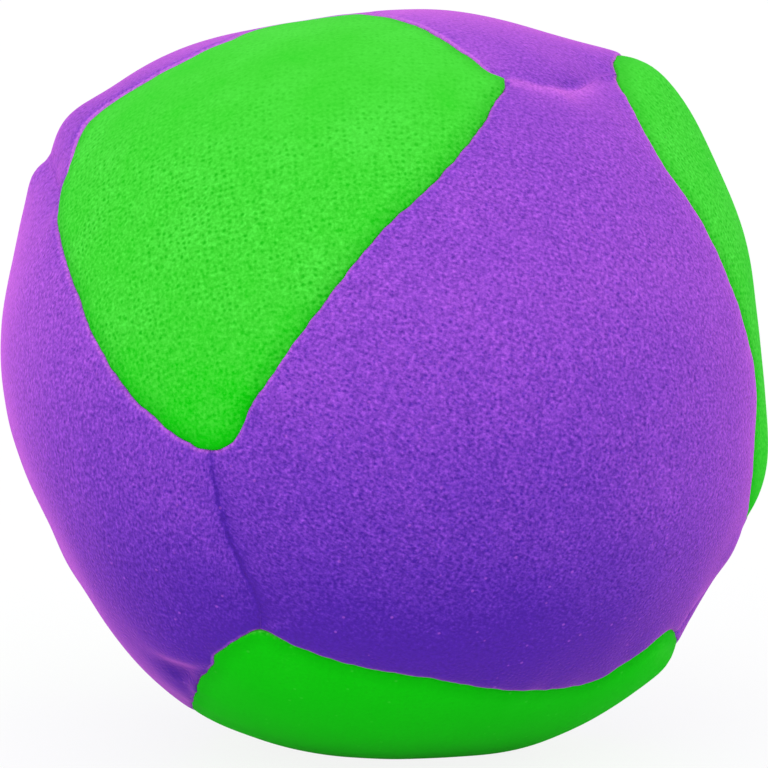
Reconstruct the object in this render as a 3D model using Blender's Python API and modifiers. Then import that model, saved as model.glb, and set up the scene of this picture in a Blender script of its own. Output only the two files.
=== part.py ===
"""A sewn footbag, or juggling sack: four rounded three-sided green panels and four six-sided purple
ones, turned in and stitched together along eighteen seams round a loose filling of pellets.

Metres, +Z up. The origin is the middle of the small flat on which the ball rests, and -Y is its
front. Every direction from the ball's middle is an azimuth from +X and an elevation, in degrees.
"""

import bmesh
import bpy
import numpy as np
from mathutils import Matrix, Vector
from mathutils.geometry import delaunay_2d_cdt

MM = 0.001

# Driving dimensions
BALL_RADIUS = 26.0 * MM
FABRIC_THICKNESS = 0.7 * MM
FOLD_RADIUS = 0.9 * MM  # outer radius of the turned edge at a seam
ALLOWANCE = 3.4 * MM  # depth of the turned-in edge below its fold
SEAM_GAP = 0.3 * MM  # between the two turned-in edges of a seam
CLEARANCE = 0.3 * MM  # between any other two pieces
FILLING_GAP = 0.5 * MM  # between the fabric and the filling
REST_RADIUS = 6.0 * MM  # of the flat on which the ball stands
THREAD_RADIUS = 0.25 * MM
STITCH_PITCH = 4.4 * MM
STITCH_DEPTH = 1.7 * MM  # of the stitches below the fold
CORNER_MARGIN = 3.0 * MM  # from a seam's end to its first needle hole
THREAD_END_GAP = 0.8 * MM  # between the two ends of a panel's thread
THREAD_TAIL = 1.2 * MM  # left past the last hole of a short seam
CUT_OVERRUN = 0.4 * MM
PAD_OVERLAP = 0.5 * MM  # how far a pad of the filling reaches into its core
CORE_SAG_SHARE = 0.07  # of the core's radius, by which its flat faces lie inside it

# Sizes that follow from those
RUN_OFFSET = SEAM_GAP / 2 + FABRIC_THICKNESS + CLEARANCE + THREAD_RADIUS
HOLE_RADIUS = THREAD_RADIUS + CLEARANCE
FILLING_INSET = RUN_OFFSET + THREAD_RADIUS + FILLING_GAP
CORE_DEPTH = FOLD_RADIUS + ALLOWANCE + CLEARANCE
PAD_ROOT = CORE_SAG_SHARE * (BALL_RADIUS - CORE_DEPTH) + PAD_OVERLAP

SEAM_SPACING = 3.9 * MM  # between the points along a panel's edge
FACE_SPACING = 4.2 * MM  # between the points inside it
BORDER_SHARE = 0.65  # of that spacing, kept clear along the edge

# Counts
LEAST_SIDE_STEPS = 3
FOLD_STEPS = 2
CURVE_STEPS = 16
HOLE_SIDES = 5
CORE_SUBDIVISION_STEPS = 2
FINE_STEPS = 120
INSIDE_ONLY = 1  # keeps the triangles inside an outline
HIDDEN_BOW_DEGREES = 6.0
LONGEST_STITCH_SHARE = 1.3  # of the stitch pitch
SMOOTH_JOIN_SHARE = 0.4  # sine of the greatest turn at which two sides run smoothly on
ROUNDING = 1e-6

# Places where the fill pushes the fabric out or lets it sink: azimuth, elevation and reach in
# degrees, and the rise as a share of the ball's radius.
LUMP_SHARES = (
    (-9.0, -21.0, 14.0, 0.005),
    (-17.0, -48.0, 14.0, 0.043),
    (-127.0, -73.0, 25.0, -0.022),
    (-171.0, -24.0, 22.0, -0.070),
    (-177.0, 19.0, 12.0, -0.010),
    (-179.0, 36.0, 12.0, 0.044),
    (162.0, 82.0, 22.0, -0.052),
    (1.0, 51.0, 12.0, 0.066),
    (-2.0, 25.0, 14.0, 0.028),
    (-19.0, -67.0, 11.0, 0.022),
    (-173.0, -42.0, 15.0, -0.024),
    (170.0, 52.0, 11.0, 0.016),
    (180.0, 2.0, 14.0, -0.013),
    (-2.0, -14.0, 10.0, 0.030),
    (7.0, 40.0, 10.0, 0.032),
    (14.0, 60.0, 14.0, -0.020),
    (2.0, 13.0, 14.0, -0.015),
    (65.0, -18.0, 20.0, 0.020),
    (112.0, 30.0, 22.0, -0.025),
    (100.0, -38.0, 18.0, 0.025),
)

# Where three panels meet: azimuth and elevation
CORNERS = {
    "front_low": (-113.5, -2.5),
    "front_high": (-56.0, 55.5),
    "front_left": (-159.0, 31.0),
    "base_left": (-109.5, -30.5),
    "base_right": (-19.0, -37.5),
    "base_rear": (126.5, -60.0),
    "right_high": (-13.5, 52.0),
    "right_low": (-7.0, -20.5),
    "right_rear": (58.0, 17.5),
    "back_left": (167.5, 29.0),
    "back_low": (131.0, -40.5),
    "back_right": (80.0, 12.0),
}

# A seam's two corners and the places that it passes between them. A seam with no places given is
# on a hidden side, and runs straight between two purple panels or bows evenly out of a green one.
SEAMS = (
    (
        "front_low",
        "front_high",
        (
            (-111.3, -1.7), (-109.0, 1.5), (-108.0, 4.0), (-105.5, 7.5), (-98.0, 18.0),
            (-91.0, 27.0), (-79.5, 37.0), (-69.5, 45.0), (-63.0, 50.3), (-58.3, 53.3),
        ),
    ),
    (
        "front_low",
        "front_left",
        (
            (-115.5, -2.3), (-119.5, -0.5), (-126.5, 4.0), (-134.0, 10.5), (-141.0, 17.5),
            (-149.0, 23.5), (-154.5, 27.0),
        ),
    ),
    (
        "front_left",
        "front_high",
        (
            (-161.5, 36.0), (-165.0, 40.5), (-167.0, 44.5), (-165.5, 50.5), (-162.0, 58.0),
            (-163.0, 65.5), (-171.5, 68.0), (176.0, 70.0), (167.0, 72.5), (158.0, 77.0), (150.0, 81.5),
            (147.5, 86.5), (-114.0, 87.0), (-90.0, 84.0), (-77.0, 78.5), (-69.0, 72.0), (-64.5, 65.0),
            (-61.0, 60.0), (-59.3, 57.0),
        ),
    ),
    (
        "right_high",
        "right_low",
        (
            (-18.0, 50.0), (-24.0, 45.0), (-26.5, 38.5), (-24.5, 26.0), (-20.5, 13.0),
            (-16.5, 4.0), (-15.0, -3.0), (-15.0, -9.0), (-12.0, -15.0),
        ),
    ),
    ("right_low", "right_rear", ()),
    ("right_rear", "right_high", ((36.0, 44.0), (12.0, 51.0), (-4.0, 53.8), (-10.0, 53.5))),
    (
        "base_left",
        "base_right",
        (
            (-107.3, -31.2), (-104.3, -32.8), (-98.0, -35.3), (-80.5, -39.5), (-56.5, -44.5),
            (-41.0, -44.0), (-33.0, -40.0), (-26.0, -36.5),
        ),
    ),
    (
        "base_left",
        "base_rear",
        (
            (-111.3, -31.0), (-114.0, -32.3), (-117.0, -34.2), (-119.8, -36.2), (-121.2, -38.3),
            (-123.5, -40.2), (-126.8, -42.2), (-132.0, -46.7), (-143.0, -53.0),
        ),
    ),
    ("base_rear", "base_right", ()),
    ("back_low", "back_left", ()),
    ("back_left", "back_right", ()),
    ("back_right", "back_low", ()),
    (
        "front_low",
        "base_left",
        ((-113.5, -5.5), (-113.0, -9.5), (-112.0, -14.5), (-110.5, -19.5), (-109.0, -24.0), (-108.7, -27.5)),
    ),
    (
        "front_high",
        "right_high",
        ((-51.5, 54.8), (-45.0, 53.0), (-37.0, 52.0), (-29.0, 52.5), (-21.0, 53.0)),
    ),
    ("base_right", "right_low", ((-13.0, -33.0), (-9.0, -26.5))),
    ("front_left", "back_left", ((-164.0, 32.0), (-170.0, 33.5), (-177.0, 34.5))),
    ("base_rear", "back_low", ()),
    ("right_rear", "back_right", ()),
)

GREEN_PANELS = {
    "green_panel_front": ("front_low", "front_high", "front_left"),
    "green_panel_right": ("right_high", "right_low", "right_rear"),
    "green_panel_base": ("base_left", "base_rear", "base_right"),
    "green_panel_back": ("back_left", "back_right", "back_low"),
}
PURPLE_PANELS = {
    "purple_panel_front": (
        "front_low", "base_left", "base_right", "right_low", "right_high", "front_high",
    ),
    "purple_panel_left": (
        "front_low", "front_left", "back_left", "back_low", "base_rear", "base_left",
    ),
    "purple_panel_top": (
        "front_left", "front_high", "right_high", "right_rear", "back_right", "back_left",
    ),
    "purple_panel_under": (
        "base_right", "base_rear", "back_low", "back_right", "right_rear", "right_low",
    ),
}
SHORT_SEAM_THREADS = {
    "thread_front_seam": ("front_low", "base_left"),
    "thread_top_seam": ("front_high", "right_high"),
    "thread_right_seam": ("base_right", "right_low"),
    "thread_left_seam": ("front_left", "back_left"),
    "thread_under_seam": ("base_rear", "back_low"),
    "closing_thread": ("right_rear", "back_right"),
}


def unit(vectors):
    """The vectors, each scaled to a length of one."""
    return vectors / np.linalg.norm(vectors, axis=-1, keepdims=True)


def direction(azimuth, elevation):
    a, e = np.radians((azimuth, elevation))
    return np.array((np.cos(e) * np.cos(a), np.cos(e) * np.sin(a), np.sin(e)))


def surface_radius(directions):
    """Distance from the ball's middle to the outer face of the fabric."""
    share = np.ones(directions.shape[:-1])
    for azimuth, elevation, reach, rise in LUMP_SHARES:
        away = np.degrees(np.arccos(np.clip(directions @ direction(azimuth, elevation), -1, 1)))
        share = share + rise * np.exp(-((away / reach) ** 2))
    return BALL_RADIUS * share


def placed(directions, depth, floor):
    """Points at a depth below the fabric's outer face, none of them below the floor."""
    below = surface_radius(direction(0.0, -90.0))
    middle = np.array((0, 0, np.sqrt(below**2 - REST_RADIUS**2)))
    points = middle + directions * (surface_radius(directions) - depth)[..., None]
    points[..., 2] = np.maximum(points[..., 2], floor)
    return points


def smooth_curve(points):
    """A smooth curve through unit vectors, laid on the unit ball."""
    points = np.array(points)
    knots = np.concatenate([[0], np.cumsum(np.linalg.norm(np.diff(points, axis=0), axis=1))])
    slopes = np.gradient(points, knots, axis=0)
    curve = []
    for i, span in enumerate(np.diff(knots)):
        for t in np.linspace(0, 1, CURVE_STEPS, endpoint=False):
            curve.append(
                points[i] * (1 + 2 * t) * (1 - t) ** 2
                + slopes[i] * span * t * (1 - t) ** 2
                + points[i + 1] * t**2 * (3 - 2 * t)
                + slopes[i + 1] * span * t**2 * (t - 1)
            )
    return unit(np.array([*curve, points[-1]]))


def evenly(curve, steps):
    """Points at equal steps of length along a curve, both of its ends included."""
    along = np.concatenate([[0], np.cumsum(np.linalg.norm(np.diff(curve, axis=0), axis=1))])
    wanted = np.linspace(0, along[-1], steps + 1)
    return unit(np.stack([np.interp(wanted, along, curve[:, k]) for k in range(3)], axis=1))


def seam_curve(start, end, places):
    """Directions along a seam, bowed out of its green panel where no places are given."""
    first, last = direction(*CORNERS[start]), direction(*CORNERS[end])
    if places:
        return smooth_curve([first, *(direction(*place) for place in places), last])
    halfway = unit(first + last)
    for corners in GREEN_PANELS.values():
        if start in corners and end in corners:
            away = halfway - unit(sum(direction(*CORNERS[name]) for name in corners))
            away = unit(away - halfway * (away @ halfway))
            bow = np.radians(HIDDEN_BOW_DEGREES)
            halfway = halfway * np.cos(bow) + away * np.sin(bow)
    return smooth_curve([first, halfway, last])


def whole_seam(start, end):
    """A fine curve from one named corner to the other."""
    for first, last, places in SEAMS:
        if {first, last} == {start, end}:
            curve = seam_curve(first, last, places)
            return curve if first == start else curve[::-1]
    raise ValueError(f"no seam joins {start} and {end}")


def side_length(side):
    return BALL_RADIUS * np.linalg.norm(np.diff(whole_seam(*side), axis=0), axis=1).sum()


def side_steps(side):
    """How many equal steps the edge of a panel takes along one of its sides."""
    return max(LEAST_SIDE_STEPS, round(side_length(side) / SEAM_SPACING))


def side_points(side):
    return evenly(whole_seam(*side), side_steps(side))


def sides_of(corners):
    """The pairs of corners round a panel."""
    return [(corner, corners[(i + 1) % len(corners)]) for i, corner in enumerate(corners)]


def outline_of(corners):
    """A panel's closed outline, anticlockwise as seen from outside."""
    return np.concatenate([side_points(side)[:-1] for side in sides_of(corners)])


def offset_path(path, distance, closed=True):
    """The path moved to its left over the ball by a distance, with mitred corners."""
    before, after = np.roll(path, 1, axis=0), np.roll(path, -1, axis=0)
    if not closed:
        before[0] = 2 * path[0] - path[1]
        after[-1] = 2 * path[-1] - path[-2]
    left_in = unit(np.cross(path, path - before))
    left_out = unit(np.cross(path, after - path))
    mitre = (left_in + left_out) / (1 + np.sum(left_in * left_out, axis=1))[:, None]
    return unit(path + mitre * (distance / surface_radius(path))[:, None])


def crossing(first, second):
    """Where two paths cross, the first near its end and the second near its start: the step of each
    path after or before which it is past the other, and the place. Paths that run smoothly on from
    one another hardly cross, and meet halfway between them."""
    apart = np.linalg.norm(first[:-1, None] - second[None, 1:], axis=2)
    i, j = np.unravel_index(np.argmin(apart), apart.shape)
    place = np.cross(unit(np.cross(first[i], first[i + 1])), unit(np.cross(second[j], second[j + 1])))
    if np.linalg.norm(place) < SMOOTH_JOIN_SHARE:
        return i, j + 1, unit(first[i] + second[j + 1])
    return i, j + 1, unit(place * np.sign(place @ first[i]))


def inset_outline(corners, distance):
    """A panel's outline moved in from its seams, in even steps between its new corners."""
    sides = sides_of(corners)
    fine = [
        offset_path(evenly(whole_seam(*side), FINE_STEPS), distance, closed=False) for side in sides
    ]
    crossings = [crossing(fine[i - 1], fine[i]) for i in range(len(fine))]
    outline = []
    for i, path in enumerate(fine):
        _, start, first = crossings[i]
        end, _, last = crossings[(i + 1) % len(fine)]
        inset = np.array([first, *path[start + 1 : end], last])
        outline.append(evenly(inset, side_steps(sides[i]))[:-1])
    return np.concatenate(outline)


def between(path, spot):
    """The point at a place along a path that closes on itself, counted in its steps."""
    low = int(np.floor(spot + ROUNDING))
    part = spot - low
    return (1 - part) * path[low % len(path)] + part * path[(low + 1) % len(path)]


def flattened(directions, turned):
    """The directions on a flat map of the ball about the third axis of a turned frame."""
    along = directions @ turned
    return 2 * along[:, :2] / (1 + along[:, 2:])


def raised(flat, turned):
    """The directions of the points of such a map."""
    off = np.sum(flat**2, axis=1, keepdims=True) / 4
    return np.hstack([flat, 1 - off]) / (1 + off) @ turned.T


def spread_points(border):
    """A three-way grid of points over a flat outline, those near its border left out."""
    spacing = FACE_SPACING / BALL_RADIUS
    low, high = border.min(axis=0), border.max(axis=0)
    rows = np.arange(low[1], high[1], spacing * np.sin(np.pi / 3))
    columns = np.arange(low[0], high[0], spacing)
    grid = np.array([(x + (i % 2) * spacing / 2, y) for i, y in enumerate(rows) for x in columns])
    sides = np.roll(border, -1, axis=0) - border
    off = grid[:, None] - border
    along = np.clip(np.sum(off * sides, axis=2) / np.sum(sides**2, axis=1), 0, 1)
    away = np.linalg.norm(off - along[..., None] * sides, axis=2).min(axis=1)
    return grid[away > BORDER_SHARE * spacing]


def surface_over(outline, depth, floor):
    """A mesh over an outline at a depth below the ball's face, and its rim vertices in order."""
    turned = np.array(Vector(outline.mean(axis=0)).to_track_quat("Z", "Y").to_matrix())
    border = flattened(outline, turned)
    flat = [Vector(point) for point in (*border, *spread_points(border))]
    whole = [list(range(len(border)))]
    points, _, faces, sources, _, _ = delaunay_2d_cdt(flat, [], whole, INSIDE_ONLY, ROUNDING)
    places = placed(raised(np.array([point[:] for point in points]), turned), depth, floor)
    mesh = bmesh.new()
    made = {}
    for index in sorted({index for face in faces for index in face}):
        made[index] = mesh.verts.new(places[index])
    for face in faces:
        mesh.faces.new([made[index] for index in face])
    rim = {source[0]: made[i] for i, source in enumerate(sources) if source and source[0] < len(border)}
    return mesh, rim


def extend_rim(mesh, rim, points):
    """Adds a band of faces from the rim to these points, and returns the new rim."""
    edges = [edge for edge in mesh.edges if edge.is_boundary]
    made = bmesh.ops.extrude_edge_only(mesh, edges=edges)["geom"]
    index_of = {vert: index for index, vert in rim.items()}
    new_rim = {}
    for vert in [item for item in made if isinstance(item, bmesh.types.BMVert)]:
        old = next(edge.other_vert(vert) for edge in vert.link_edges if edge.other_vert(vert) in index_of)
        new_rim[index_of[old]] = vert
    for index, vert in new_rim.items():
        vert.co = points[index]
    return new_rim


def add_object(name, data, collection, material=None):
    obj = bpy.data.objects.new(name, data)
    collection.objects.link(obj)
    if material:
        data.materials.append(material)
    return obj


def add_mesh(name, mesh, collection, material=None):
    """Makes an object from a bmesh, and frees the bmesh."""
    bmesh.ops.recalc_face_normals(mesh, faces=mesh.faces[:])
    data = bpy.data.meshes.new(name)
    mesh.to_mesh(data)
    mesh.free()
    return add_object(name, data, collection, material)


def add_boolean(obj, other, operation):
    modifier = obj.modifiers.new(other.name, "BOOLEAN")
    modifier.operation = operation
    modifier.solver = "EXACT"
    modifier.object = other


def make_material(name, colour, roughness):
    material = bpy.data.materials.new(name)
    material.use_nodes = True
    shader = material.node_tree.nodes["Principled BSDF"]
    shader.inputs["Base Color"].default_value = (*colour, 1.0)
    shader.inputs["Roughness"].default_value = roughness
    shader.inputs["Metallic"].default_value = 0.0
    return material


def hole_spots(side):
    """Places of an even number of needle holes along a seam, counted in the steps of its side."""
    length = side_length(side)
    usable = length - 2 * CORNER_MARGIN
    count = 2 * max(1, round(usable / (2 * STITCH_PITCH)))
    pitch = min(usable / (count - 1), STITCH_PITCH * LONGEST_STITCH_SHARE)
    first = (length - (count - 1) * pitch) / 2
    return [(first + i * pitch) * side_steps(side) / length for i in range(count)]


def run_along(track, start, end):
    """The points of a track from one place to a later one, with the track's own points between."""
    middle = range(int(np.ceil(start + ROUNDING)), int(np.floor(end - ROUNDING)) + 1)
    return [between(track, spot) for spot in (start, *middle, end)]


def thread_tracks(path, closed):
    """The lines on either side of a seam on which its thread runs."""
    floor = CLEARANCE + FABRIC_THICKNESS + CLEARANCE
    depth = FOLD_RADIUS + STITCH_DEPTH
    left = placed(offset_path(path, RUN_OFFSET, closed), depth, floor)
    right = placed(offset_path(path, -RUN_OFFSET, closed), depth, floor)
    return left, right


def running_stitch(tracks, spots, start, end):
    """A thread's route: along the left track to each hole in turn, through it, and on."""
    route = []
    side = 0
    for spot, following in zip([start, *spots], [*spots, end]):
        route += run_along(tracks[side], spot, following)
        side = 1 - side
    return route


def add_thread(name, route, collection, material):
    curve = bpy.data.curves.new(name, "CURVE")
    curve.dimensions = "3D"
    curve.bevel_depth = THREAD_RADIUS
    curve.bevel_resolution = 0
    curve.use_fill_caps = True
    spline = curve.splines.new("POLY")
    spline.points.add(len(route) - 1)
    for point, place in zip(spline.points, route):
        point.co = (*place, 1.0)
    return add_object(name, curve, collection, material)


def sew_green_panel(name, corners, holes, collection, material):
    """One thread right round a green panel. It crosses each corner on the panel's own side."""
    outline = outline_of(corners)
    tracks = thread_tracks(outline, True)
    spots = []
    first_step = 0
    for side in sides_of(corners):
        along_side = [first_step + spot for spot in hole_spots(side)]
        holes[frozenset(side)] = [(between(tracks[0], s), between(tracks[1], s)) for s in along_side]
        spots += along_side
        first_step += side_steps(side)
    half_gap = THREAD_END_GAP / 2 / SEAM_SPACING
    middle = (spots[1] + spots[2]) / 2
    later = spots[2:] + [spot + len(outline) for spot in spots[:2]]
    route = running_stitch(tracks, later, middle + half_gap, middle + len(outline) - half_gap)
    add_thread(name, route, collection, material)


def sew_short_seam(name, side, holes, collection, material):
    """A short thread between two purple panels, with a tail at each end."""
    tracks = thread_tracks(side_points(side), False)
    spots = hole_spots(side)
    holes[frozenset(side)] = [(between(tracks[0], s), between(tracks[1], s)) for s in spots]
    tail = THREAD_TAIL / SEAM_SPACING
    route = running_stitch(tracks, spots, spots[0] - tail, spots[-1] + tail)
    add_thread(name, route, collection, material)


def needle_holes(name, corners, holes, collection):
    """One cutter with a small cylinder for each needle hole along a panel's sides."""
    mesh = bmesh.new()
    for side in sides_of(corners):
        for inside, outside in holes[frozenset(side)]:
            across = Vector(outside - inside)
            turned = across.to_track_quat("Z", "Y").to_matrix().to_4x4()
            bmesh.ops.create_cone(
                mesh,
                cap_ends=True,
                segments=HOLE_SIDES,
                radius1=HOLE_RADIUS,
                radius2=HOLE_RADIUS,
                depth=across.length + 2 * CUT_OVERRUN,
                matrix=Matrix.Translation((inside + outside) / 2) @ turned,
            )
    cutter = add_mesh(f"needle_holes_{name}", mesh, collection)
    cutter.hide_render = True
    cutter.display_type = "WIRE"
    return cutter


def add_panel(name, corners, holes, parts, cutters, material):
    """A fabric panel: its face, the rounded fold along each seam and the turned-in allowance."""
    mesh, rim = surface_over(inset_outline(corners, SEAM_GAP / 2 + FOLD_RADIUS), 0.0, 0.0)
    for step in range(1, FOLD_STEPS + 1):
        bend = np.pi / 2 * step / FOLD_STEPS
        inset = SEAM_GAP / 2 + FOLD_RADIUS * (1 - np.sin(bend))
        fold = placed(inset_outline(corners, inset), FOLD_RADIUS * (1 - np.cos(bend)), 0.0)
        rim = extend_rim(mesh, rim, fold)
    turned_in = placed(inset_outline(corners, SEAM_GAP / 2), FOLD_RADIUS + ALLOWANCE, 0.0)
    extend_rim(mesh, rim, turned_in)
    panel = add_mesh(name, mesh, parts, material)
    solidify = panel.modifiers.new("fabric", "SOLIDIFY")
    solidify.thickness = FABRIC_THICKNESS
    solidify.offset = -1.0
    solidify.use_even_offset = True
    solidify.use_quality_normals = True
    add_boolean(panel, needle_holes(name, corners, holes, cutters), "DIFFERENCE")
    panel.data.shade_smooth()
    return panel


def add_filling(name, panels, parts, cutters, material):
    """The packed pellets: a core, and under each panel a pad that fills it out to its seams."""
    depth = FABRIC_THICKNESS + FILLING_GAP
    pads = bpy.data.meshes.new("pads")
    joined = bmesh.new()
    for corners in panels:
        edge = inset_outline(corners, FILLING_INSET)
        mesh, rim = surface_over(edge, depth, depth)
        extend_rim(mesh, rim, placed(edge, CORE_DEPTH + PAD_ROOT, depth))
        bmesh.ops.holes_fill(mesh, edges=[e for e in mesh.edges if e.is_boundary])
        bmesh.ops.recalc_face_normals(mesh, faces=mesh.faces[:])
        mesh.to_mesh(pads)
        mesh.free()
        joined.from_mesh(pads)
    bpy.data.meshes.remove(pads)
    pad_object = add_mesh("filling_pads", joined, cutters)
    pad_object.hide_render = True
    pad_object.display_type = "WIRE"
    core = bmesh.new()
    bmesh.ops.create_icosphere(core, subdivisions=CORE_SUBDIVISION_STEPS, radius=1)
    for vert in core.verts:
        vert.co = placed(unit(np.array(vert.co)), CORE_DEPTH, depth)
    filling = add_mesh(name, core, parts, material)
    add_boolean(filling, pad_object, "UNION")
    filling.data.shade_smooth()


def main():
    for obj in list(bpy.data.objects):
        bpy.data.objects.remove(obj, do_unlink=True)
    parts = bpy.data.collections.new("footbag")
    cutters = bpy.data.collections.new("cutters")
    for collection in (parts, cutters):
        bpy.context.scene.collection.children.link(collection)

    green = make_material("green_suede", (0.05, 0.70, 0.04), 0.9)
    purple = make_material("purple_suede", (0.25, 0.06, 0.58), 0.9)
    thread = make_material("polyester_thread", (0.30, 0.12, 0.60), 0.6)
    pellets = make_material("plastic_pellets", (0.75, 0.72, 0.64), 0.5)

    holes = {}
    for name, corners in GREEN_PANELS.items():
        sew_green_panel(name.replace("green_panel", "thread"), corners, holes, parts, thread)
    for name, side in SHORT_SEAM_THREADS.items():
        sew_short_seam(name, side, holes, parts, thread)
    for name, corners in GREEN_PANELS.items():
        add_panel(name, corners, holes, parts, cutters, green)
    for name, corners in PURPLE_PANELS.items():
        add_panel(name, corners, holes, parts, cutters, purple)
    every_panel = [*GREEN_PANELS.values(), *PURPLE_PANELS.values()]
    add_filling("pellet_filling", every_panel, parts, cutters, pellets)


main()
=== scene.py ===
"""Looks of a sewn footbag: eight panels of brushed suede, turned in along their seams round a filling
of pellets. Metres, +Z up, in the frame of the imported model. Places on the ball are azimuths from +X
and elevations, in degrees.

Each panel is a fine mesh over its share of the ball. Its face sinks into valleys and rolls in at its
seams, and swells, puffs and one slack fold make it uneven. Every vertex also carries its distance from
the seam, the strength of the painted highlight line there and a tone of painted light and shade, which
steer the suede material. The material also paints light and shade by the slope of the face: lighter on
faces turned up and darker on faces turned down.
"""

import bmesh
import bpy
import numpy as np
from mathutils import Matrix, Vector, noise
from mathutils.geometry import delaunay_2d_cdt
from mathutils.kdtree import KDTree


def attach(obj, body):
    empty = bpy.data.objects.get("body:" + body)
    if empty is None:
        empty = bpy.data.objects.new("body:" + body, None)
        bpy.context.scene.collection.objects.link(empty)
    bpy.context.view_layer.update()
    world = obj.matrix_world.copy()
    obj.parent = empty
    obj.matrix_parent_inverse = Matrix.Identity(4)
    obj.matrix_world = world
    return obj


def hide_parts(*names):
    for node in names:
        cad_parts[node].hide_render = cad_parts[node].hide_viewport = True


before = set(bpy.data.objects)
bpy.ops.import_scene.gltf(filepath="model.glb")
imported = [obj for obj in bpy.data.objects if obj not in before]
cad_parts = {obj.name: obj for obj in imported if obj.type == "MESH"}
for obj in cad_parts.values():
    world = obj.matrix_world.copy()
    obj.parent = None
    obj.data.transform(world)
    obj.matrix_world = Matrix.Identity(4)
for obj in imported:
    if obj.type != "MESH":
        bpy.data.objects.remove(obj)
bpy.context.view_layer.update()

MM = 0.001

# The ball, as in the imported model
BALL_RADIUS = 26.0 * MM
FABRIC_THICKNESS = 0.7 * MM
FOLD_RADIUS = 0.9 * MM
ALLOWANCE = 3.4 * MM
SEAM_GAP = 0.3 * MM
REST_RADIUS = 6.0 * MM
FILLING_DEPTH = 1.6 * MM  # of the pellets below the outer face
SEAM_CHANNEL = 1.9 * MM  # kept clear of pellets on either side of a seam, for its turned-in edges

# Shape of a panel's edge
TOUCH_GAP = 0.004 * MM  # half the gap between two panels where they meet
RING_REACH = 0.35 * MM  # the unit of the rings of points along a seam
GREEN_ROLL = (0.25 * MM, 0.10 * MM)  # the tight bend at a seam: its radius and its depth
PURPLE_ROLL = (0.45 * MM, 0.18 * MM)
SLACK_ROLL = (0.30 * MM, 0.0)  # between two purple panels
FLOOR_BLEND = 0.25 * MM  # over which the resting flat runs into the round

# Resolution of the panel meshes
POINT_SPACING = 0.46 * MM
EDGE_SPACING = 0.20 * MM
RING_SHARES = (0.0, 0.05, 0.14, 0.28, 0.45, 0.7, 1.05, 1.5, 2.1, 2.9)  # of RING_REACH
BORDER_SHARE = 0.7
FINE_SPACING = 0.05 * MM
CORNER_STEPS = 90
FLANGE_SHARES = (0.12, 0.4, 0.7, 1.0)  # of the turned-in depth
CURVE_STEPS = 40
HIDDEN_BOW_DEGREES = 6.0
INSIDE_ONLY = 1  # keeps the triangles inside an outline
ROUNDING = 1e-7  # within which points of a flat map are one

# Broad lumps of the ball: azimuth, elevation and reach in degrees, and the rise by its radius
LUMP_SHARES = (
    (-9.0, -21.0, 14.0, 0.005),
    (-17.0, -48.0, 14.0, 0.043),
    (-127.0, -73.0, 25.0, -0.022),
    (-171.0, -24.0, 22.0, -0.070),
    (-177.0, 19.0, 12.0, -0.010),
    (-179.0, 36.0, 12.0, 0.044),
    (162.0, 82.0, 22.0, -0.052),
    (1.0, 51.0, 12.0, 0.066),
    (-2.0, 25.0, 14.0, 0.028),
    (-19.0, -67.0, 11.0, 0.022),
    (-173.0, -42.0, 15.0, -0.024),
    (170.0, 52.0, 11.0, 0.016),
    (180.0, 2.0, 14.0, -0.013),
    (-2.0, -14.0, 10.0, 0.030),
    (7.0, 40.0, 10.0, 0.032),
    (14.0, 60.0, 14.0, -0.020),
    (2.0, 13.0, 14.0, -0.015),
    (65.0, -18.0, 20.0, 0.020),
    (112.0, 30.0, 22.0, -0.025),
    (100.0, -38.0, 18.0, 0.025),
)

# The corners, in each of which a green and two purple panels meet: azimuth and elevation
CORNERS = {
    "front_low": (-113.5, -2.5),
    "front_high": (-56.0, 55.5),
    "front_left": (-159.0, 31.0),
    "base_left": (-109.5, -30.5),
    "base_right": (-19.0, -37.5),
    "base_rear": (126.5, -60.0),
    "right_high": (-13.5, 52.0),
    "right_low": (-7.0, -20.5),
    "right_rear": (58.0, 17.5),
    "back_left": (167.5, 29.0),
    "back_low": (131.0, -40.5),
    "back_right": (80.0, 12.0),
}

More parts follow.
